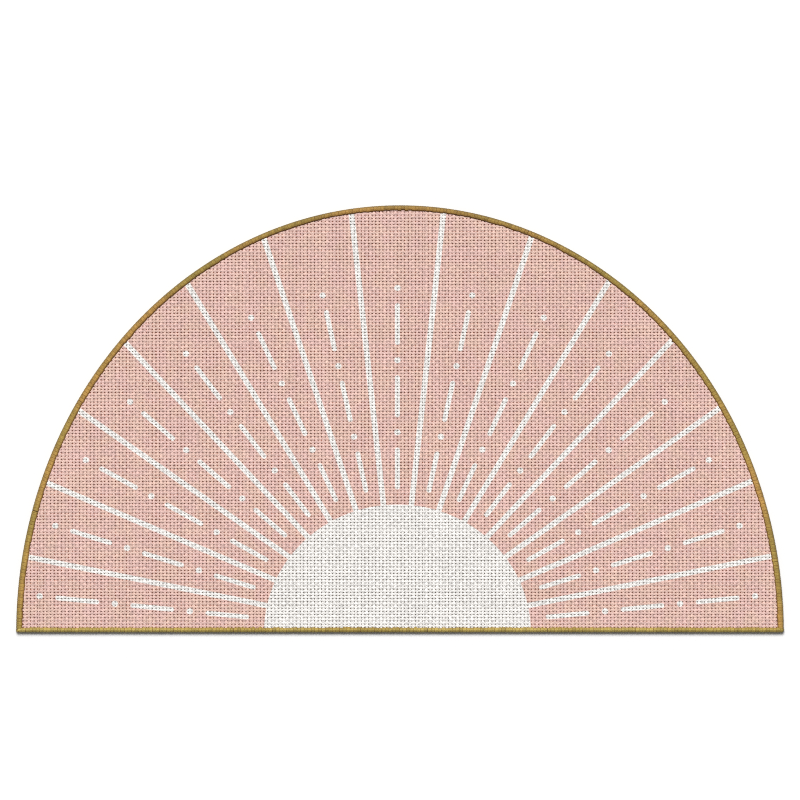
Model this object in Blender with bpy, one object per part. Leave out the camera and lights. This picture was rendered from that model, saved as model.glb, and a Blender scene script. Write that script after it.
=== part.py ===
"""A half-round woven doormat with an overlocked yarn edge.

The woven panel is one flat piece, pinched thinner at its rim. The yarn edge wraps that rim in two runs, one
round the curve and one along the straight side, which closes over the ends of the first.

Metres, +Z up. The mat lies on z = 0 with its box centred on the origin. +X runs along the straight side, and
+Y points from the straight side to the top of the curve. The pieces are modelled with the straight side on
y = 0, and each is then placed by its location.
"""

import math

import bmesh
import bpy
from mathutils import Matrix, Vector

# Driving dimensions
MAT_WIDTH = 0.9144  # along the straight side
MAT_DEPTH = 0.508  # from the straight side to the top of the curve
CLOTH_THICKNESS = 0.005
EDGE_WIDTH = 0.006  # of the yarn edge, seen from above
EDGE_HEIGHT = 0.006
YARN_WALL = 0.0013  # the yarn's thickness where it wraps the rim
OUTER_ROUNDING = 0.0022  # of the yarn edge, on the side away from the cloth
INNER_ROUNDING = 0.0010  # of the yarn edge and of the cloth, where they face each other
CLEARANCE = 0.0003  # between pieces that touch

# Smoothness
CURVE_STEPS = 96
ROUNDING_STEPS = 4
SHARP_ANGLE = math.radians(40)

# Sizes that follow
HALF_WIDTH = MAT_WIDTH / 2
CHANNEL_BOTTOM = YARN_WALL
CHANNEL_TOP = EDGE_HEIGHT - YARN_WALL
TONGUE_INSET = YARN_WALL + CLEARANCE
TONGUE_BOTTOM = CHANNEL_BOTTOM + CLEARANCE
TONGUE_TOP = CHANNEL_TOP - CLEARANCE
PANEL_INSET = EDGE_WIDTH + CLEARANCE
RUN_START = EDGE_WIDTH + CLEARANCE  # how far above the straight side the curved run begins

# Colours as seen in daylight, red, green and blue out of 255
CLOTH_COLOUR = (226, 190, 179)
EDGE_COLOUR = (178, 152, 88)


def linear_colour(colour):
    """The colour as a shader reads it."""
    levels = [level / 255 for level in colour]
    linear = [((level + 0.055) / 1.055) ** 2.4 for level in levels]
    return (*linear, 1.0)


def make_material(name, colour, roughness):
    material = bpy.data.materials.new(name)
    material.use_nodes = True
    shader = material.node_tree.nodes["Principled BSDF"]
    shader.inputs["Base Color"].default_value = linear_colour(colour)
    shader.inputs["Roughness"].default_value = roughness
    shader.inputs["Metallic"].default_value = 0.0
    return material


def place(bm, name, material):
    """Turns the shape into a named object with its straight side on the front of the mat's box."""
    mesh = bpy.data.meshes.new(name)
    bm.to_mesh(mesh)
    bm.free()
    mesh.shade_smooth()
    mesh.set_sharp_from_angle(angle=SHARP_ANGLE)
    mesh.materials.append(material)
    piece = bpy.data.objects.new(name, mesh)
    piece.location = (0, -MAT_DEPTH / 2, 0)
    bpy.context.scene.collection.objects.link(piece)
    return piece


def point_inside_curve(angle, inset, lowest):
    """The point that lies `inset` inside the curve at this angle of the ellipse, no nearer the straight side
    than `lowest`."""
    rim = Vector((HALF_WIDTH * math.cos(angle), MAT_DEPTH * math.sin(angle)))
    outward = Vector((math.cos(angle) / HALF_WIDTH, math.sin(angle) / MAT_DEPTH)).normalized()
    point = rim - inset * outward
    return Vector((point.x, max(point.y, lowest)))


def curve_angles(lowest):
    """Even steps of the ellipse's angle from the right end of the curve to the left, where each end is
    `lowest` above the straight side."""
    start = math.asin(lowest / MAT_DEPTH)
    step = (math.pi - 2 * start) / CURVE_STEPS
    return [start + step * i for i in range(CURVE_STEPS + 1)]


def rounded_corner(centre, radius, start):
    """Points of a quarter circle, clockwise. It starts at `start` quarter turns from the right."""
    turns = [start - i / ROUNDING_STEPS for i in range(ROUNDING_STEPS + 1)]
    angles = [turn * math.pi / 2 for turn in turns]
    return [(centre[0] + radius * math.cos(a), centre[1] + radius * math.sin(a)) for a in angles]


def solid_from_rings(rings):
    """Joins each ring of points to the next, and closes the first and the last."""
    bm = bmesh.new()
    rows = [[bm.verts.new(point) for point in ring] for ring in rings]
    for row, above in zip(rows, rows[1:]):
        for i in range(len(row)):
            bm.faces.new((row[i - 1], row[i], above[i], above[i - 1]))
    bm.faces.new(rows[0])
    bm.faces.new(rows[-1])
    bmesh.ops.recalc_face_normals(bm, faces=bm.faces)
    return bm


def cloth_outline(inset, height):
    """The half ellipse that lies `inset` inside the mat's outline all round."""
    points = [point_inside_curve(angle, inset, inset) for angle in curve_angles(inset)]
    return [(point.x, point.y, height) for point in points]


def make_cloth(material):
    """The woven panel. Its rounded rim steps in to the thin tongue that the yarn edge wraps."""
    rounded_inset = PANEL_INSET + INNER_ROUNDING
    rings = [
        cloth_outline(rounded_inset, 0),
        cloth_outline(PANEL_INSET, INNER_ROUNDING),
        cloth_outline(PANEL_INSET, TONGUE_BOTTOM),
        cloth_outline(TONGUE_INSET, TONGUE_BOTTOM),
        cloth_outline(TONGUE_INSET, TONGUE_TOP),
        cloth_outline(PANEL_INSET, TONGUE_TOP),
        cloth_outline(rounded_inset, CLOTH_THICKNESS),
    ]
    return place(solid_from_rings(rings), "mat_cloth", material)


def channel_profile():
    """The section of the curved run, as distances in from the mat's outline and heights. The channel opens
    towards the cloth."""
    outer, inner = OUTER_ROUNDING, INNER_ROUNDING
    inner_centre = EDGE_WIDTH - inner
    return [
        (EDGE_WIDTH, CHANNEL_BOTTOM),
        *rounded_corner((inner_centre, inner), inner, 4),
        *rounded_corner((outer, outer), outer, 3),
        *rounded_corner((outer, EDGE_HEIGHT - outer), outer, 2),
        *rounded_corner((inner_centre, EDGE_HEIGHT - inner), inner, 1),
        (EDGE_WIDTH, CHANNEL_TOP),
        (YARN_WALL, CHANNEL_TOP),
        (YARN_WALL, CHANNEL_BOTTOM),
    ]


def make_curved_run(material):
    """The yarn edge round the curve. It ends flat against the straight run."""
    profile = channel_profile()
    rings = []
    for angle in curve_angles(RUN_START):
        points = [point_inside_curve(angle, inset, RUN_START) for inset, _ in profile]
        rings.append([(p.x, p.y, height) for p, (_, height) in zip(points, profile)])
    return place(solid_from_rings(rings), "binding_curve", material)


def box(low, high):
    """A box between two opposite corners."""
    low, high = Vector(low), Vector(high)
    size = high - low
    bm = bmesh.new()
    placing = Matrix.Translation((low + high) / 2) @ Matrix.Diagonal((*size, 1))
    bmesh.ops.create_cube(bm, size=1, matrix=placing)
    return bm


def make_straight_run(material):
    """The yarn edge along the straight side, a bar with closed ends that is rounded but for the side that
    faces the cloth. A channel is cut into that side."""
    bar = box((-HALF_WIDTH, 0, 0), (HALF_WIDTH, EDGE_WIDTH, EDGE_HEIGHT))
    outer_edges = [e for e in bar.edges if min(v.co.y for v in e.verts) < EDGE_WIDTH / 2]
    bmesh.ops.bevel(
        bar,
        geom=outer_edges,
        offset=OUTER_ROUNDING,
        offset_type="OFFSET",
        segments=ROUNDING_STEPS,
        profile=0.5,
        affect="EDGES",
    )
    run = place(bar, "binding_straight", material)

    channel_end = HALF_WIDTH - YARN_WALL
    channel = box(
        (-channel_end, YARN_WALL, CHANNEL_BOTTOM),
        (channel_end, 2 * EDGE_WIDTH, CHANNEL_TOP),
    )
    cutter = place(channel, "channel_cutter", material)
    cutter.hide_render = True
    cutter.display_type = "WIRE"
    cut = run.modifiers.new("channel", "BOOLEAN")
    cut.operation = "DIFFERENCE"
    cut.solver = "EXACT"
    cut.object = cutter
    return run


def main():
    for old in list(bpy.data.objects):
        bpy.data.objects.remove(old, do_unlink=True)

    cloth = make_material("woven_cloth", CLOTH_COLOUR, 0.9)
    edge_yarn = make_material("edge_yarn", EDGE_COLOUR, 0.75)

    make_cloth(cloth)
    make_curved_run(edge_yarn)
    make_straight_run(edge_yarn)


main()
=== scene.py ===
"""The half-round doormat's looks: woven yarns with a half sun and rays printed on them, and overlocking yarn
wrapped over the rim.

The straight side runs along X, at the low end of Y, and the mat lies on z = 0. All sizes are in metres.
"""

import math
from typing import NamedTuple

import bpy
import numpy as np
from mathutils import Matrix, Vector


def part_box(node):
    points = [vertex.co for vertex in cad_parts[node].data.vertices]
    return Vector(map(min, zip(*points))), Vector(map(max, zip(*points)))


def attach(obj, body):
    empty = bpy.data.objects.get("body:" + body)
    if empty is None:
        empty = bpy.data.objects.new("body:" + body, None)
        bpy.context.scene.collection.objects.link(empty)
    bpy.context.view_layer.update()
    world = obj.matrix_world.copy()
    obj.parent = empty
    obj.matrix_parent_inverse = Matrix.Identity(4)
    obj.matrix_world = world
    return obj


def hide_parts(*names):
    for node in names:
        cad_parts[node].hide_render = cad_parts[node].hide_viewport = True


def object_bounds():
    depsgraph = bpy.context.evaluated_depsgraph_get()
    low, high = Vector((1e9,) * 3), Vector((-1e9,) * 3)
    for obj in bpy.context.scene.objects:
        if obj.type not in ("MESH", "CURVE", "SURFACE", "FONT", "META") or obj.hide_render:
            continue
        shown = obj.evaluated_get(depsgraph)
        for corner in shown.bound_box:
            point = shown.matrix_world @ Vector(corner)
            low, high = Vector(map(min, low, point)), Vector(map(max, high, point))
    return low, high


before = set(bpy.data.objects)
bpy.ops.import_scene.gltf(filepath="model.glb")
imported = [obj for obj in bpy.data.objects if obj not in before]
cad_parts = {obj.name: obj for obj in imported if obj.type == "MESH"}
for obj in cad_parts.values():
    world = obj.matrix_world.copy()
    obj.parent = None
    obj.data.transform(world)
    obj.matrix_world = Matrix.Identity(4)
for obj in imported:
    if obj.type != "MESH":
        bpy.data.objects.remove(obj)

CAD_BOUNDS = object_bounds()


def linear_colour(red, green, blue):
    """A colour as a shader reads it, from how it is seen in daylight, out of 255."""
    return (*[((level / 255 + 0.055) / 1.055) ** 2.4 for level in (red, green, blue)], 1.0)


# The mat, from the frame
LOW, HIGH = CAD_BOUNDS
HALF_WIDTH = HIGH.x
STRAIGHT_Y = LOW.y
DEPTH = HIGH.y - LOW.y
EDGE_HEIGHT = HIGH.z
CLOTH_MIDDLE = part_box("mat_cloth")[1].z / 2

# The weave
WARP_PITCH = 0.00425
WEFT_PITCH = 0.003777
WARP_HALF_WIDTH = 0.00125  # midway between two crossings
WEFT_HALF_WIDTH = 0.00106
THIN_WARPS = 0.02  # the share of warps that are thin
THIN_WIDTH = 0.6  # of a thin warp, as a share of the others
SPREAD = 1.74  # how much wider a yarn lies where it crosses another
YARN_HALF_HEIGHT = 0.00200  # midway between two crossings
PRESSED_HALF_HEIGHT = 0.00105  # where a yarn crosses another
CRIMP = 0.00105  # how far a yarn's middle rises and falls as it crosses the others
YARN_GRIP = 0.0022  # how far inside the outline the yarns end, under the edge yarn
PINCH_START = 0.013  # how far inside the outline the cloth begins to thin
PINCHED = 0.80  # the share of its thickness that is left at the rim
YARN_SIDES = 4
LOWER_SIDE = 2  # of those four, counted from the upper one
TWIST_PITCH = 0.0028
# A sheet halfway down the cloth, painted as the shade in its pinholes
SHADE_SHEET_THICKNESS = 0.0006
SHADE_SHEET_INSET = 0.0014
SHADE_SHEET_STEPS = 96  # round the curve

# How uneven the weave is
WIDTH_UNEVENNESS = 0.055  # from yarn to yarn
LOCAL_UNEVENNESS = 0.04  # from one stretch between two crossings to the next
WIDTH_WAVE = 0.03
WIDTH_WAVE_LENGTH = 0.037
WIDTH_WAVE_STARTS = 6  # radians, the range that its start is drawn from
PLACE_UNEVENNESS = 0.00010
SWAY = 0.00013
SWAY_LENGTH = 0.09

# The edge yarn, in stitches of two turns each
TOP_PROUD = 0.0006  # how far it bulges past the mat's outline, at the top of the curve
SIDE_PROUD = 0.0001  # where the curve meets the straight side
STRAIGHT_PROUD = 0.0005
TOP_EDGE_WIDTH = 0.0062  # seen from above
SIDE_EDGE_WIDTH = 0.0075
STRAIGHT_EDGE_WIDTH = 0.0056
TOP_PAINTED_SHADE = -1.35  # painted shade, added at the top to a stitch's own tone, which is from -1 to 1
TOP_SHARPNESS = 3  # how quickly the values at the top give way to those at the side
WRAP_PITCH = 0.0021
PAIR_SHIFT = 0.0002  # how far each turn of a stitch lies towards the other
WRAP_HALF_WIDTH = 0.00136
WRAP_HALF_THICKNESS = 0.00062
WRAP_SLANT = 0.0014  # how far a turn moves along the rim from one of its ends to the other
WRAP_START = math.radians(12)  # the turn's angle round the rim where it leaves the cloth
WRAP_ROUNDNESS = 0.72  # 1 is round, and less is squarer
WRAP_POINTS = 11
WRAP_SIDES = 6
EDGE_WIDTH_WANDER = 0.00025  # from stitch to stitch
WRAP_WANDER = 0.00007  # along the rim, from turn to turn
WRAP_SWELL = 0.06  # of the yarn's own width, from turn to turn
CORNER_RADIUS = 0.0028
CORNER_POINTS = 20
CURVE_START = 1.5 * CORNER_RADIUS  # how far above the straight side the run round the curve begins
CURVE_POINTS = 2000  # of the line that its turns are spaced along

# The meshes
SHARP_ANGLE = math.radians(75)
LEAST_STEEPNESS = 1e-9  # keeps the middle of the straight side from a division by zero
MAP_MARGIN = 0.005  # round each half of the bake map
CELL_MARGIN = 0.1  # round each yarn's cell of the bake map, as a share of the cell

# The print
SUN_RADIUS = 0.152
SUN_MIDDLE = (-0.003, STRAIGHT_Y)
PRINT_STRETCH = 1.045  # how much wider than high the print lies
RAY_STEP = math.radians(12)
RAY_PLACE = 0.5  # of a ray, in steps from a chain
RAY_WIDTH = 0.0064
CHAIN_START = 0.170  # from the sun's middle
CHAIN_PITCH = 0.086
CHAIN_REPEATS = 3
CHAIN_WIDTH = 0.0056
DASH_LENGTH = 0.050
DOT_PLACE = 0.068  # of a dot's middle, from the start of its repeat
DOT_RADIUS = 0.0036
INK_SOFTNESS = 0.0004
INK_WANDER = 0.0005
INK_DEPTH = 0.0003  # over which it fades out, below the cloth's middle

# Colours
COOL_PINK = linear_colour(233, 195, 187)
WARM_PINK = linear_colour(233, 198, 183)
WHITE = linear_colour(245, 242, 238)
# Painted shade for the low parts of the weave and its pinholes, in pink or white as the print
SHADED_PINK = linear_colour(205, 156, 136)
SHADED_WHITE = linear_colour(194, 188, 181)
GOLD = linear_colour(198, 152, 80)
OLIVE = linear_colour(172, 148, 72)
PALE_OLIVE = linear_colour(188, 166, 90)
# Painted shade round the rim of the edge yarn
RIM_SHADE_GOLD = linear_colour(110, 94, 48)
RIM_SHADE_OLIVE = linear_colour(120, 108, 56)
# Painted shade between the edge yarn's turns and where it enters the cloth
SHADE_BROWN = linear_colour(122, 78, 24)
FLOOR = linear_colour(247, 247, 247)
ROOM = linear_colour(255, 255, 255)

# Noises, in patches to the metre
CLOTH_FIBRES = 900
SHADE_SHEET_FIBRES = 700
EDGE_FIBRES = 800
SPECKS = 240
PATCHES = 22
WARM_PATCHES = 60
GOLD_PATCHES = 9
INK_PATCHES = 420
FIBRE_DETAIL = 3  # layers of finer noise on the fibres

# How bright the yarns are, and how much their tones and the noises change that
CLOTH_LEVEL = 0.97
CLOTH_TONE_CONTRAST = 0.035
CLOTH_FIBRE_CONTRAST = 0.30
SPECK_CONTRAST = 0.70
PATCH_CONTRAST = 0.10
# How dark the painted shade in the pinholes is
SHADE_SHEET_LEVEL = 0.8
SHADE_SHEET_FIBRE_CONTRAST = 0.8
EDGE_LEVEL = 0.97
EDGE_TONE_CONTRAST = 0.13
EDGE_FIBRE_CONTRAST = 1.1

# Where a colour passes into another
WARMTH_REACH = 0.2  # of its noise, either way from the middle
GOLD_REACH = 0.15
SHADE_FULL_WITHIN = 0.0002  # how far from the cloth's middle a yarn has its full painted shade
SHADE_CLEAR_FROM = 0.0009  # how far from it the painted shade has faded out

# Along a turn of the edge yarn, from 0 at the rim to 0.5 where it enters the cloth
# Where the painted shade round the rim fades, and where the brown painted shade by the cloth starts and is
# full
RIM_SHADE_END = 0.05
RIM_SHADE_CLEAR = 0.33
SIDE_SHADE_START = 0.29
SIDE_SHADE_FULL = 0.465
TOP_SHADE_START = 0.23
TOP_SHADE_FULL = 0.445

# How much painted shade the edge yarn gets: dull round the rim, and brown between the turns and where it
# enters the cloth
RIM_SHADE_STRENGTH = 0.75
CURVE_CLOTH_SHADE = 1.0
STRAIGHT_CLOTH_SHADE = 0.4
GROOVE_SHADE_STRENGTH = 0.85
GROOVE_START = 0.5  # across a turn, from 0 at its middle to 1 at its side
SIDE_END = STRAIGHT_Y + 0.4 * DEPTH  # as far up as this, the brown painted shade is as broad as at the sides
TOP_START = STRAIGHT_Y + 0.9 * DEPTH  # from here up, it is as broad as at the top

# Relief and gloss
CLOTH_RELIEF = 0.0004
SHADE_SHEET_RELIEF = 0.0003
EDGE_RELIEF = 0.0003
TWIST_WEIGHT = 0.3  # in the relief, where the fibres' is 1
ROUNDING_WEIGHT = 0.1
CLOTH_TWIST_SLANT = 0.7  # turns from a yarn's middle to its side
EDGE_TWIST_SLANT = 0.35
EDGE_TWISTS = 9
CLOTH_FINISH = {"Roughness": 0.9, "Specular IOR Level": 0.2, "Sheen Weight": 0.1}
SHADE_SHEET_FINISH = {"Roughness": 0.95, "Specular IOR Level": 0.2}
EDGE_FINISH = {"Roughness": 0.75, "Specular IOR Level": 0.3, "Sheen Weight": 0.1}
FLOOR_FINISH = {"Roughness": 0.9}

# The studio
FLOOR_SIZE = 14
ROOM_LIGHT = 0.19
WINDOW_LIGHT = 3.55
WINDOW_ANGLE = math.radians(32)
WINDOW_PLACE = (-0.25, 2.3, 3.0)

# The photograph's view
PHOTO_SIZE = 800
MAT_WIDTH_PIXELS = 767.6
MAT_MIDDLE_PIXEL = (399.95, 418.9)
METRES_PER_PIXEL = 2 * HALF_WIDTH / MAT_WIDTH_PIXELS
LENS = 400
SENSOR = 36
FILTER_WIDTH = 1.05  # in pixels, narrow because the photograph is sharp

UPWARD = np.array([0, 0, 1.0])
SEED = 7
random = np.random.default_rng(SEED)


# Meshes of yarns


class Walls(NamedTuple):
    """The faces along a yarn, but for those that close its ends."""

    corners: np.ndarray  # the places of each face's corners
    side: np.ndarray  # the number of each face's side, round the yarn
    start: np.ndarray  # how far along the yarn each face starts and ends, from 0 to 1
    end: np.ndarray
    yarn: int  # the yarn's number in its piece


def end_corners(walls, sides):
    """The corners of the two faces that close a yarn, out of those of its walls."""
    return walls[:sides, 0], walls[-sides:, 1][::-1]


class Strands:
    """Yarns joined into one mesh. Every point knows its place along its yarn, its place across it and its
    yarn's tone. `unwrap` gives the place of each wall's corners on the bake map."""

    def __init__(self, sides, unwrap):
        self.sides = sides
        self.unwrap = unwrap
        self.points = []
        self.faces = []
        self.places = []
        self.unwrapped = []
        self.yarns = 0
        self.first_point = 0

    def add(self, centres, half_widths, half_heights, along, tone):
        """Adds a yarn: a ring round each of `centres`, with its half width and half height as vectors.
        `along` runs from 0 to 1."""
        turns = (np.arange(self.sides) + 0.5) * 2 * math.pi / self.sides
        across = np.cos(turns) / np.cos(turns[0])
        height = np.sin(turns) / np.sin(turns).max()
        points = (
            centres[:, None]
            + half_widths[:, None] * across[:, None]
            + half_heights[:, None] * height[:, None]
        ).reshape(-1, 3)
        place = np.stack(np.broadcast_arrays(along[:, None], across, tone), axis=-1)

        self.add_faces(points, along)
        self.points.append(points)
        self.places.append(place.reshape(-1, 3))
        self.first_point += len(points)
        self.yarns += 1

    def add_faces(self, points, along):
        """Joins each ring of a yarn's points to the next, and closes both ends."""
        ring, side = np.indices((len(along) - 1, self.sides)).reshape(2, -1)
        here = ring * self.sides + side
        beside = ring * self.sides + (side + 1) % self.sides
        walls = np.stack([here, here + self.sides, beside + self.sides, beside], axis=1)
        ends = end_corners(walls, self.sides)
        unwrapped = self.unwrap(Walls(points[walls], side, along[ring], along[ring + 1], self.yarns))

        self.faces += (walls + self.first_point).tolist()
        self.faces += [(end + self.first_point).tolist() for end in ends]
        self.unwrapped += [unwrapped.reshape(-1, 2), *end_corners(unwrapped, self.sides)]

    def build(self, name, material):
        mesh = bpy.data.meshes.new(name)
        mesh.from_pydata(np.concatenate(self.points).tolist(), [], self.faces)
        mesh.uv_layers.new(name="OFBake").data.foreach_set("uv", np.concatenate(self.unwrapped).ravel())
        place = mesh.attributes.new("yarn_place", "FLOAT_VECTOR", "POINT")
        place.data.foreach_set("vector", np.concatenate(self.places).ravel())
        mesh.shade_smooth()
        mesh.set_sharp_from_angle(angle=SHARP_ANGLE)
        return add_piece(name, mesh, material)


def add_piece(name, mesh, material):
    """Makes the mesh a piece of the scene, which keeps its place on the part."""
    mesh.materials.append(material)
    piece = bpy.data.objects.new(name, mesh)
    bpy.context.scene.collection.objects.link(piece)
    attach(piece, "root")
    return piece


def seen_from_above(walls):
    """The yarns' lower sides on the lower half of the bake map, and the others on the upper half."""
    x, y, _ = np.moveaxis(walls.corners, -1, 0)
    half = np.where(walls.side == LOWER_SIDE, 0, 0.5)[:, None]
    u = (x + HALF_WIDTH) / (2 * HALF_WIDTH)
    v = half + MAP_MARGIN + (0.5 - 2 * MAP_MARGIN) * (y - STRAIGHT_Y) / DEPTH
    return np.stack([u, v], axis=-1)


def in_cells(cells, sides):
    """Each yarn in a cell of its own on the bake map, of `cells` by `cells`."""
    used = 1 - 2 * CELL_MARGIN

    def unwrap(walls):
        row, column = divmod(walls.yarn, cells)
        left = (column + CELL_MARGIN + used * walls.side / sides) / cells
        right = left + used / sides / cells
        low = (row + CELL_MARGIN + used * walls.start) / cells
        high = (row + CELL_MARGIN + used * walls.end) / cells
        return np.stack([left, low, left, high, right, high, right, low], axis=1).reshape(-1, 4, 2)

    return unwrap


# The weave


def inset_of(x, y):
    """How far inside the mat's outline a place lies, nearly."""
    above = y - STRAIGHT_Y
    across, up = x / HALF_WIDTH, above / DEPTH
    share = np.sqrt(across**2 + up**2)
    steepness = np.sqrt((across / HALF_WIDTH) ** 2 + (up / DEPTH) ** 2)
    from_curve = (1 - share) * share / np.maximum(steepness, LEAST_STEEPNESS)
    return np.minimum(from_curve, above)


def thickness_share(inset):
    """The cloth's thickness here as a share of the full one. The edge yarn pinches it."""
    ease = np.clip((inset - YARN_GRIP) / (PINCH_START - YARN_GRIP), 0, 1)
    return PINCHED + (1 - PINCHED) * ease * ease * (3 - 2 * ease)


def yarn_places(low, high, pitch, thin_yarns):
    """The middles and the relative widths of a set of parallel yarns, spaced a little unevenly. A few yarns
    are thin."""
    count = round((high - low) / pitch)
    widths = np.where(random.random(count) < thin_yarns, THIN_WIDTH, 1.0)
    ends = np.cumsum(widths)
    middles = low + (high - low) * (ends - widths / 2) / ends[-1]
    return middles + random.normal(0, PLACE_UNEVENNESS, count), widths


def wave(along, length, starts):
    """A wave from -1 to 1 along a yarn, with its start anywhere in the first `starts` radians."""
    return np.sin(along * 2 * math.pi / length + random.uniform(0, starts))


def in_turn(crossings, at_crossings, between):
    """Values along a yarn: one at each of its crossings, and one between each two of them."""
    values = np.empty(2 * crossings - 1)
    values[0::2] = at_crossings
    values[1::2] = between
    return values


def yarn_half_widths(along, crossings, half_width):
    """The half widths along a yarn that spreads at its crossings, all of them a little uneven."""
    half_width = half_width * (1 + random.normal(0, WIDTH_UNEVENNESS))
    between = 1 + random.normal(0, LOCAL_UNEVENNESS, crossings - 1)
    swell = 1 + WIDTH_WAVE * wave(along, WIDTH_WAVE_LENGTH, WIDTH_WAVE_STARTS)
    return half_width * in_turn(crossings, SPREAD, between) * swell


def weave_yarn(strands, number, place, crossed, half_width, runs_along_y):
    """Adds one yarn of the weave, over one of the crossed yarns and under the next, from rim to rim."""
    crossings = len(crossed)
    first = number if runs_along_y else number + 1
    over = (-1.0) ** (first + np.arange(crossings))  # 1 over a crossed yarn and -1 under it
    along = in_turn(crossings, crossed, (crossed[1:] + crossed[:-1]) / 2)
    rise = in_turn(crossings, CRIMP * over, 0)
    half_heights = in_turn(crossings, PRESSED_HALF_HEIGHT, YARN_HALF_HEIGHT)
    half_widths = yarn_half_widths(along, crossings, half_width)
    across = place + SWAY * wave(along, SWAY_LENGTH, 2 * math.pi)
    x, y = (across, along) if runs_along_y else (along, across)

    inset = inset_of(x, y)
    kept = inset > YARN_GRIP
    if kept.sum() < 2:
        return
    share = thickness_share(inset)
    centres = np.stack([x, y, CLOTH_MIDDLE + rise * share], axis=1)
    sideways = np.array([1.0, 0, 0]) if runs_along_y else np.array([0, -1.0, 0])
    start, length = (STRAIGHT_Y, DEPTH) if runs_along_y else (-HALF_WIDTH, 2 * HALF_WIDTH)
    strands.add(
        centres[kept],
        sideways * half_widths[kept, None],
        UPWARD * (half_heights * share)[kept, None],
        (along[kept] - start) / length,
        random.uniform(-1, 1),
    )


def weave_set(name, places, half_widths, crossed, runs_along_y, material):
    """Parallel yarns, in two pieces with every other yarn in each."""
    pieces = []
    for first, letter in enumerate("ab"):
        strands = Strands(YARN_SIDES, seen_from_above)
        for number in range(first, len(places), 2):
            weave_yarn(strands, number, places[number], crossed, half_widths[number], runs_along_y)
        pieces.append(strands.build(f"{name}_{letter}", material))
    return pieces


def weave(warp_material, weft_material):
    """All the yarns of the cloth. The warps run along Y, and the wefts along X."""
    warps, warp_widths = yarn_places(-HALF_WIDTH, HALF_WIDTH, WARP_PITCH, THIN_WARPS)
    wefts, weft_widths = yarn_places(STRAIGHT_Y - WEFT_PITCH / 2, STRAIGHT_Y + DEPTH, WEFT_PITCH, 0)
    return [
        *weave_set("warp_yarns", warps, WARP_HALF_WIDTH * warp_widths, wefts, True, warp_material),
        *weave_set("weft_yarns", wefts, WEFT_HALF_WIDTH * weft_widths, warps, False, weft_material),
    ]


def outline_point(angle, inset):
    """The place `inset` inside the curve at this angle of the ellipse, and no nearer the straight side."""
    rim = np.array([HALF_WIDTH * math.cos(angle), DEPTH * math.sin(angle)])
    outward = np.array([math.cos(angle) / HALF_WIDTH, math.sin(angle) / DEPTH])
    outward /= np.linalg.norm(outward)
    x, above = rim - inset * outward
    return x, STRAIGHT_Y + max(above, inset)


def shade_sheet(material):
    """A sheet halfway down the cloth, which closes the pinholes between the yarns and shows in them as
    painted shade.
    """
    start = math.asin(SHADE_SHEET_INSET / DEPTH)
    angles = np.linspace(start, math.pi - start, SHADE_SHEET_STEPS + 1)
    outline = [outline_point(angle, SHADE_SHEET_INSET) for angle in angles]
    bottom = CLOTH_MIDDLE - SHADE_SHEET_THICKNESS / 2
    points = [(x, y, height) for height in (bottom, bottom + SHADE_SHEET_THICKNESS) for x, y in outline]
    count = len(outline)
    faces = [tuple(reversed(range(count))), tuple(range(count, 2 * count))]
    faces += [(i, (i + 1) % count, (i + 1) % count + count, i + count) for i in range(count)]
    mesh = bpy.data.meshes.new("pinhole_shade_sheet")
    mesh.from_pydata(points, [], faces)
    return add_piece("pinhole_shade_sheet", mesh, material)


# The edge yarn


def squarer(values):
    """Sines or cosines drawn out towards 1 and -1, so that a circle of them grows squarer."""
    return np.sign(values) * np.abs(values) ** WRAP_ROUNDNESS


def wrap_path(width):
    """The middle line of one turn of the edge yarn, as distances in from the outline and heights. It comes
    up out of the cloth, goes round the rim and dives back in underneath."""
    angles = np.linspace(WRAP_START, 2 * math.pi - WRAP_START, WRAP_POINTS)
    middle = EDGE_HEIGHT / 2
    half_depth = (width - WRAP_HALF_THICKNESS) / 2
    half_height = middle - WRAP_HALF_THICKNESS
    inset = WRAP_HALF_THICKNESS + half_depth * (1 + squarer(np.cos(angles)))
    return inset, middle + half_height * squarer(np.sin(angles))


def wrap_turn(strands, place, outward, width, shift, swell, tone):
    """Adds one turn of the edge yarn, `shift` along the rim from its place."""
    inset, height = wrap_path(width)
    steps = np.stack([np.gradient(inset), np.gradient(height)], axis=1)
    steps /= np.linalg.norm(steps, axis=1)[:, None]
    along = np.linspace(0, 1, len(inset))
    shifts = shift + WRAP_SLANT * (0.5 - along)
    out = np.array([outward[0], outward[1], 0])
    forward = np.array([-outward[1], outward[0], 0])
    centres = (
        np.array([place[0], place[1], 0])
        - out * inset[:, None]
        + forward * shifts[:, None]
        + UPWARD * height[:, None]
    )
    half_widths = np.broadcast_to(forward * WRAP_HALF_WIDTH * swell, centres.shape)
    square_to_path = out * steps[:, 1, None] + UPWARD * steps[:, 0, None]
    strands.add(centres, half_widths, square_to_path * WRAP_HALF_THICKNESS, along, tone)


def wrap_rim(name, places, outwards, widths, painted_shades, material):
    """Turns of yarn side by side, one at each place, where `outwards` point out of the mat. Each stitch is
    two turns, which share a tone and reach about as far in."""
    cells = math.ceil(math.sqrt(len(places)))
    strands = Strands(WRAP_SIDES, in_cells(cells, WRAP_SIDES))
    for number, (place, outward, width) in enumerate(zip(places, outwards, widths)):
        if number % 2 == 0:
            # the stitch's own tone, plus the painted shade given for its place
            tone = painted_shades[number] + random.uniform(-1, 1)
            extra_width = random.normal(0, EDGE_WIDTH_WANDER)
        shift = PAIR_SHIFT * (-1) ** number + random.normal(0, WRAP_WANDER)
        swell = 1 + random.normal(0, WRAP_SWELL)
        wrap_turn(strands, place, outward, width + extra_width, shift, swell, tone)
    return strands.build(name, material)


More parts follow.
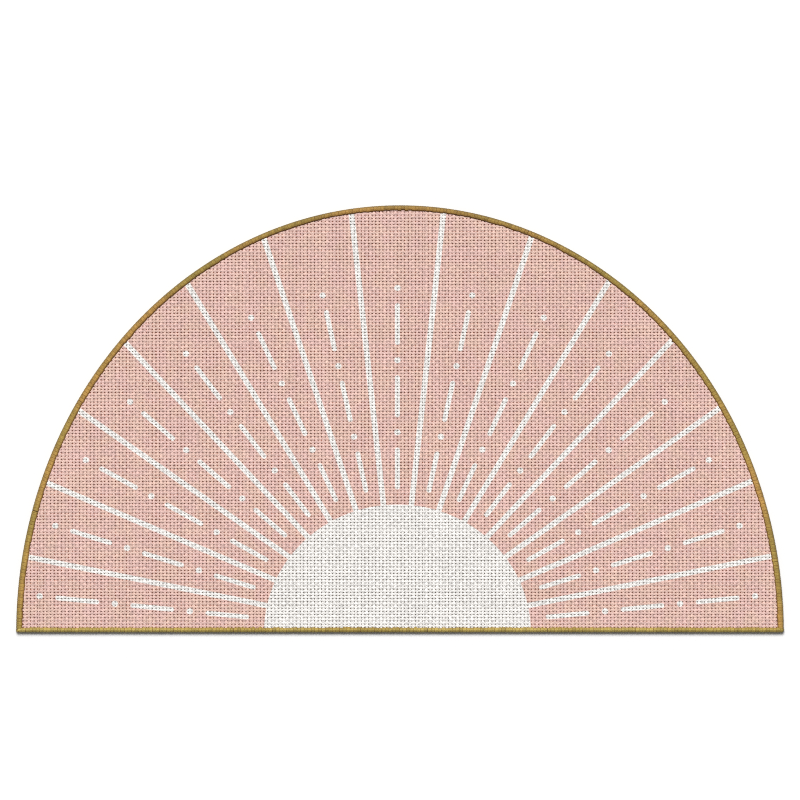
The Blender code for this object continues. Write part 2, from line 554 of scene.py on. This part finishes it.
def even_stations(points, pitch):
    """Places at an even pitch along a line of points, with the direction to its right at each."""
    steps = np.diff(points, axis=0)
    travelled = np.concatenate([[0], np.cumsum(np.linalg.norm(steps, axis=1))])
    count = round(travelled[-1] / pitch)
    at = (np.arange(count) + 0.5) * travelled[-1] / count
    places, ahead, behind = (
        np.stack([np.interp(at + shift, travelled, points[:, i]) for i in (0, 1)], axis=1)
        for shift in (0, pitch / 2, -pitch / 2)
    )
    forward = ahead - behind
    forward /= np.linalg.norm(forward, axis=1)[:, None]
    return places, np.stack([forward[:, 1], -forward[:, 0]], axis=1)


def wrap_curve(material):
    """The run of overlocking round the curve, which is slimmer towards the top and has painted shade
    deepening its colour there.
    """
    start = math.asin(CURVE_START / DEPTH)
    angles = np.linspace(start, math.pi - start, CURVE_POINTS)
    curve = np.stack([HALF_WIDTH * np.cos(angles), STRAIGHT_Y + DEPTH * np.sin(angles)], axis=1)
    places, outwards = even_stations(curve, WRAP_PITCH)
    topness = outwards[:, 1] ** TOP_SHARPNESS
    places += outwards * (SIDE_PROUD + (TOP_PROUD - SIDE_PROUD) * topness)[:, None]
    widths = SIDE_EDGE_WIDTH + (TOP_EDGE_WIDTH - SIDE_EDGE_WIDTH) * topness
    return wrap_rim("edge_yarn_curve", places, outwards, widths, TOP_PAINTED_SHADE * topness, material)


def wrap_straight_side(material):
    """The run of overlocking along the straight side, which turns both corners."""
    turn = np.linspace(math.pi, 1.5 * math.pi, CORNER_POINTS)
    corner = np.stack([np.cos(turn), np.sin(turn)], axis=1) * CORNER_RADIUS
    left = corner + (-HALF_WIDTH + CORNER_RADIUS, STRAIGHT_Y + CORNER_RADIUS)
    right = (left * (-1, 1))[::-1]
    places, outwards = even_stations(np.concatenate([left, right]), WRAP_PITCH)
    places += outwards * STRAIGHT_PROUD
    widths = np.full(len(places), STRAIGHT_EDGE_WIDTH)
    painted_shades = np.zeros(len(places))
    return wrap_rim("edge_yarn_straight", places, outwards, widths, painted_shades, material)


# Materials


class Value:
    """A number, colour or vector that a material works out at every spot. Arithmetic on a number adds the
    nodes that work it out."""

    def __init__(self, shading, output):
        self.shading = shading
        self.output = output

    def compute(self, operation, *others):
        """The result of one of the maths node's operations."""
        made = self.shading.node("ShaderNodeMath", operation=operation)
        for socket, number in zip(made.inputs, (self, *others)):
            self.shading.feed(socket, number)
        return Value(self.shading, made.outputs[0])

    def __add__(self, other):
        return self.compute("ADD", other)

    def __sub__(self, other):
        return self.compute("SUBTRACT", other)

    def __mul__(self, other):
        return self.compute("MULTIPLY", other)

    def __truediv__(self, other):
        return self.compute("DIVIDE", other)

    def __abs__(self):
        return self.compute("ABSOLUTE")


def smaller(first, second):
    return first.compute("MINIMUM", second)


def larger(first, second):
    return first.compute("MAXIMUM", second)


def length_of(across, up):
    return (across * across + up * up).compute("SQRT")


class Shading:
    """Short ways to add a material's nodes. `finish` holds the shader's own values that are the same all
    over the material."""

    def __init__(self, name, finish):
        self.material = bpy.data.materials.new(name)
        self.material.use_nodes = True
        self.tree = self.material.node_tree
        self.shader = self.tree.nodes["Principled BSDF"]
        for socket, value in finish.items():
            self.shader.inputs[socket].default_value = value

    def node(self, kind, **settings):
        made = self.tree.nodes.new(kind)
        for key, value in settings.items():
            setattr(made, key, value)
        return made

    def feed(self, socket, value):
        """Links a value to the socket, or sets it to a plain number or colour."""
        if isinstance(value, Value):
            self.tree.links.new(value.output, socket)
        else:
            socket.default_value = value

    def mix(self, share, first, second):
        """The first colour, passing into the second as the share grows to 1."""
        made = self.node("ShaderNodeMix", data_type="RGBA")
        for name, value in (("Factor", share), ("A", first), ("B", second)):
            sockets = [socket for socket in made.inputs if socket.name == name and socket.enabled]
            self.feed(sockets[0], value)
        return Value(self, next(socket for socket in made.outputs if socket.enabled))

    def ramp(self, value, low, high, to_low=0.0, to_high=1.0):
        """The value carried from one range to another, and kept within it."""
        made = self.node("ShaderNodeMapRange", interpolation_type="SMOOTHSTEP")
        for socket, number in zip(made.inputs, (value, low, high, to_low, to_high)):
            self.feed(socket, number)
        return Value(self, made.outputs["Result"])

    def noise(self, scale, detail=2):
        """Noise by the place on the mat, around 0."""
        made = self.node("ShaderNodeTexNoise")
        self.feed(made.inputs["Vector"], self.place())
        self.feed(made.inputs["Scale"], scale)
        self.feed(made.inputs["Detail"], detail)
        return Value(self, made.outputs["Fac"]) - 0.5

    def place(self):
        """The place on the mat, in metres."""
        return Value(self, self.node("ShaderNodeTexCoord").outputs["Object"])

    def parts(self, vector):
        """The vector's three numbers."""
        made = self.node("ShaderNodeSeparateXYZ")
        self.feed(made.inputs[0], vector)
        return [Value(self, output) for output in made.outputs]

    def yarn_place(self):
        """Along the yarn from 0 to 1, across it from -1 to 1, and the yarn's tone."""
        made = self.node("ShaderNodeAttribute", attribute_name="yarn_place")
        return self.parts(Value(self, made.outputs["Vector"]))

    def paint(self, colour, level):
        """Gives the material its colour, made paler or deeper."""
        made = self.node("ShaderNodeVectorMath", operation="SCALE")
        self.feed(made.inputs[0], colour)
        self.feed(made.inputs["Scale"], level)
        self.tree.links.new(made.outputs[0], self.shader.inputs["Base Color"])

    def bump(self, height, depth):
        """Gives the material its relief."""
        made = self.node("ShaderNodeBump")
        made.inputs["Distance"].default_value = depth
        self.feed(made.inputs["Height"], height)
        self.tree.links.new(made.outputs[0], self.shader.inputs["Normal"])


def beside_line(out, step, line_place):
    """How far to the side of the nearest line a place lies. The lines fan out from the sun's middle, one at
    `line_place` in every step."""
    part = (step + (0.5 - line_place)).compute("FRACT") - 0.5
    return out * (part * RAY_STEP).compute("SINE")


def outside_chain(out, beside):
    """How far outside the dashes and dots of a chain a place lies, and less than 0 inside them. Past the
    chain's ends it is large."""
    repeat = (out - CHAIN_START) / CHAIN_PITCH
    within = repeat.compute("FRACT") * CHAIN_PITCH
    past_end = larger(abs(within - DASH_LENGTH / 2) - (DASH_LENGTH - CHAIN_WIDTH) / 2, 0)
    dash = length_of(past_end, beside) - CHAIN_WIDTH / 2
    dot = length_of(within - DOT_PLACE, beside) - DOT_RADIUS
    off_chain = abs(repeat - CHAIN_REPEATS / 2).compute("GREATER_THAN", CHAIN_REPEATS / 2)
    return smaller(dash, dot) + off_chain


def printed_white(shading):
    """1 where the yarn is white and 0 where it is printed pink. White are a half sun, straight rays at even
    steps of angle, chains of dashes and dots between them, and the whole underside."""
    x, y, height = shading.parts(shading.place())
    x = (x - SUN_MIDDLE[0]) / PRINT_STRETCH
    y = y - SUN_MIDDLE[1]
    out = length_of(x, y)
    step = x.compute("ARCTAN2", y) / RAY_STEP

    sun = out - SUN_RADIUS
    ray = abs(beside_line(out, step, RAY_PLACE)) - RAY_WIDTH / 2
    chain = outside_chain(out, beside_line(out, step, 0))
    edge = smaller(smaller(sun, ray), chain) + shading.noise(INK_PATCHES) * INK_WANDER
    white = shading.ramp(edge, -INK_SOFTNESS, INK_SOFTNESS, 1.0, 0.0)
    underside = shading.ramp(height, CLOTH_MIDDLE - INK_DEPTH, CLOTH_MIDDLE, 1.0, 0.0)
    return larger(white, underside)


def twist(along, across, twists, slant):
    """The ups and downs of a yarn's strands, which wind slantwise round it."""
    return ((across * slant + along * twists) * (2 * math.pi)).compute("SINE")


def cloth_material(name, twists):
    """Printed yarn: the colour of the print, paler or deeper from yarn to yarn, with painted shade that
    darkens it deep down in the weave, and with a twist and loose fibres."""
    shading = Shading(name, CLOTH_FINISH)
    along, across, tone = shading.yarn_place()
    _, _, height = shading.parts(shading.place())
    fibres = shading.noise(CLOTH_FIBRES, FIBRE_DETAIL)

    white = printed_white(shading)
    warmth = shading.ramp(shading.noise(WARM_PATCHES), -WARMTH_REACH, WARMTH_REACH)
    pink = shading.mix(warmth, COOL_PINK, WARM_PINK)
    full = shading.mix(white, pink, WHITE)
    # Painted shade: low down in the weave, near its middle, the yarn takes the shaded colours
    shaded_colour = shading.mix(white, SHADED_PINK, SHADED_WHITE)
    out_of_shade = shading.ramp(abs(height - CLOTH_MIDDLE), SHADE_FULL_WITHIN, SHADE_CLEAR_FROM)
    level = tone * CLOTH_TONE_CONTRAST + CLOTH_LEVEL
    level += fibres * CLOTH_FIBRE_CONTRAST
    level += shading.noise(SPECKS) * SPECK_CONTRAST
    level += shading.noise(PATCHES) * PATCH_CONTRAST
    shading.paint(shading.mix(out_of_shade, shaded_colour, full), level)

    relief = twist(along, across, twists, CLOTH_TWIST_SLANT) * TWIST_WEIGHT + fibres
    rounding = across * across * ROUNDING_WEIGHT
    shading.bump(relief - rounding, CLOTH_RELIEF)
    return shading.material


def shade_sheet_material():
    """Painted shade for the pinholes: the print's shaded colours, darkened further, with loose fibres."""
    shading = Shading("painted_pinhole_shade", SHADE_SHEET_FINISH)
    fibres = shading.noise(SHADE_SHEET_FIBRES, FIBRE_DETAIL)
    shaded_colour = shading.mix(printed_white(shading), SHADED_PINK, SHADED_WHITE)
    shading.paint(shaded_colour, fibres * SHADE_SHEET_FIBRE_CONTRAST + SHADE_SHEET_LEVEL)
    shading.bump(fibres, SHADE_SHEET_RELIEF)
    return shading.material


def painted_shade_at_cloth(shading, from_rim, cloth_shade_strength):
    """How much brown painted shade a turn gets where it enters the cloth. The painted shade is broader
    towards the top of the curve.
    """
    _, y, _ = shading.parts(shading.place())
    start = shading.ramp(y, SIDE_END, TOP_START, SIDE_SHADE_START, TOP_SHADE_START)
    full = shading.ramp(y, SIDE_END, TOP_START, SIDE_SHADE_FULL, TOP_SHADE_FULL)
    return shading.ramp(from_rim, start, full, 0.0, cloth_shade_strength)


def edge_material(name, one_colour, other_colour, rim_shade_colour, cloth_shade_strength):
    """Overlocking yarn that changes slowly from one colour to another. It gets painted shade: dull round the
    rim, brown between the turns, and brown where it enters the cloth, as strong as its last argument says."""
    shading = Shading(name, EDGE_FINISH)
    along, across, tone = shading.yarn_place()
    from_rim = abs(along - 0.5)
    fibres = shading.noise(EDGE_FIBRES, FIBRE_DETAIL)

    share = shading.ramp(shading.noise(GOLD_PATCHES), -GOLD_REACH, GOLD_REACH)
    # Painted shade: dull round the rim, brown in the grooves between turns and where the yarn enters the
    # cloth
    rim_shade = shading.ramp(from_rim, RIM_SHADE_END, RIM_SHADE_CLEAR, RIM_SHADE_STRENGTH, 0.0)
    groove = shading.ramp(abs(across), GROOVE_START, 1.0, 0.0, GROOVE_SHADE_STRENGTH)
    shade_share = larger(painted_shade_at_cloth(shading, from_rim, cloth_shade_strength), groove)
    colour = shading.mix(share, one_colour, other_colour)
    colour = shading.mix(rim_shade, colour, rim_shade_colour)
    colour = shading.mix(shade_share, colour, SHADE_BROWN)
    level = tone * EDGE_TONE_CONTRAST + EDGE_LEVEL
    level += fibres * EDGE_FIBRE_CONTRAST
    shading.paint(colour, level)

    relief = twist(along, across, EDGE_TWISTS, EDGE_TWIST_SLANT) * TWIST_WEIGHT + fibres
    shading.bump(relief, EDGE_RELIEF)
    return shading.material


# Floor, light and camera


def pale_floor():
    bpy.ops.mesh.primitive_plane_add(size=FLOOR_SIZE)
    floor = bpy.context.object
    floor.name = "studio_floor"
    shading = Shading("pale_floor", FLOOR_FINISH)
    shading.shader.inputs["Base Color"].default_value = FLOOR
    floor.data.materials.append(shading.material)


def studio_light():
    """Even light from all round, and a broad window beyond the top of the curve."""
    world = bpy.data.worlds.new("studio")
    bpy.context.scene.world = world
    world.use_nodes = True
    background = world.node_tree.nodes["Background"]
    background.inputs["Color"].default_value = ROOM
    background.inputs["Strength"].default_value = ROOM_LIGHT

    light = bpy.data.lights.new("window", "SUN")
    light.angle = WINDOW_ANGLE
    light.energy = WINDOW_LIGHT
    window = bpy.data.objects.new("window", light)
    window.location = WINDOW_PLACE
    window.rotation_euler = (-Vector(WINDOW_PLACE)).to_track_quat("-Z", "Y").to_euler()
    bpy.context.scene.collection.objects.link(window)


def camera():
    """Looks straight down from far off, so that the mat fills the frame as in the photograph."""
    data = bpy.data.cameras.new("camera")
    data.lens = LENS
    data.sensor_width = SENSOR
    distance = PHOTO_SIZE * METRES_PER_PIXEL * LENS / SENSOR
    middle = PHOTO_SIZE / 2
    seen = bpy.data.objects.new("camera", data)
    seen.location = (
        (middle - MAT_MIDDLE_PIXEL[0]) * METRES_PER_PIXEL,
        (LOW.y + HIGH.y) / 2 + (MAT_MIDDLE_PIXEL[1] - middle) * METRES_PER_PIXEL,
        distance + EDGE_HEIGHT / 2,
    )
    bpy.context.scene.collection.objects.link(seen)
    bpy.context.scene.camera = seen


def picture_settings():
    scene = bpy.context.scene
    scene.view_settings.view_transform = "Standard"
    scene.cycles.use_denoising = False  # it smears the pinholes
    scene.cycles.filter_width = FILTER_WIDTH


def main():
    cloth = shade_sheet(shade_sheet_material())
    yarns = weave(
        cloth_material("printed_yarn", DEPTH / TWIST_PITCH),
        cloth_material("printed_cross_yarn", 2 * HALF_WIDTH / TWIST_PITCH),
    )
    round_curve = wrap_curve(edge_material("overlock_yarn", GOLD, OLIVE, RIM_SHADE_GOLD, CURVE_CLOTH_SHADE))
    along_side = wrap_straight_side(
        edge_material("overlock_yarn_straight", OLIVE, PALE_OLIVE, RIM_SHADE_OLIVE, STRAIGHT_CLOTH_SHADE)
    )

    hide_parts("mat_cloth")
    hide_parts("binding_curve")
    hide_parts("binding_straight")

    pale_floor()
    studio_light()
    camera()
    picture_settings()


main()
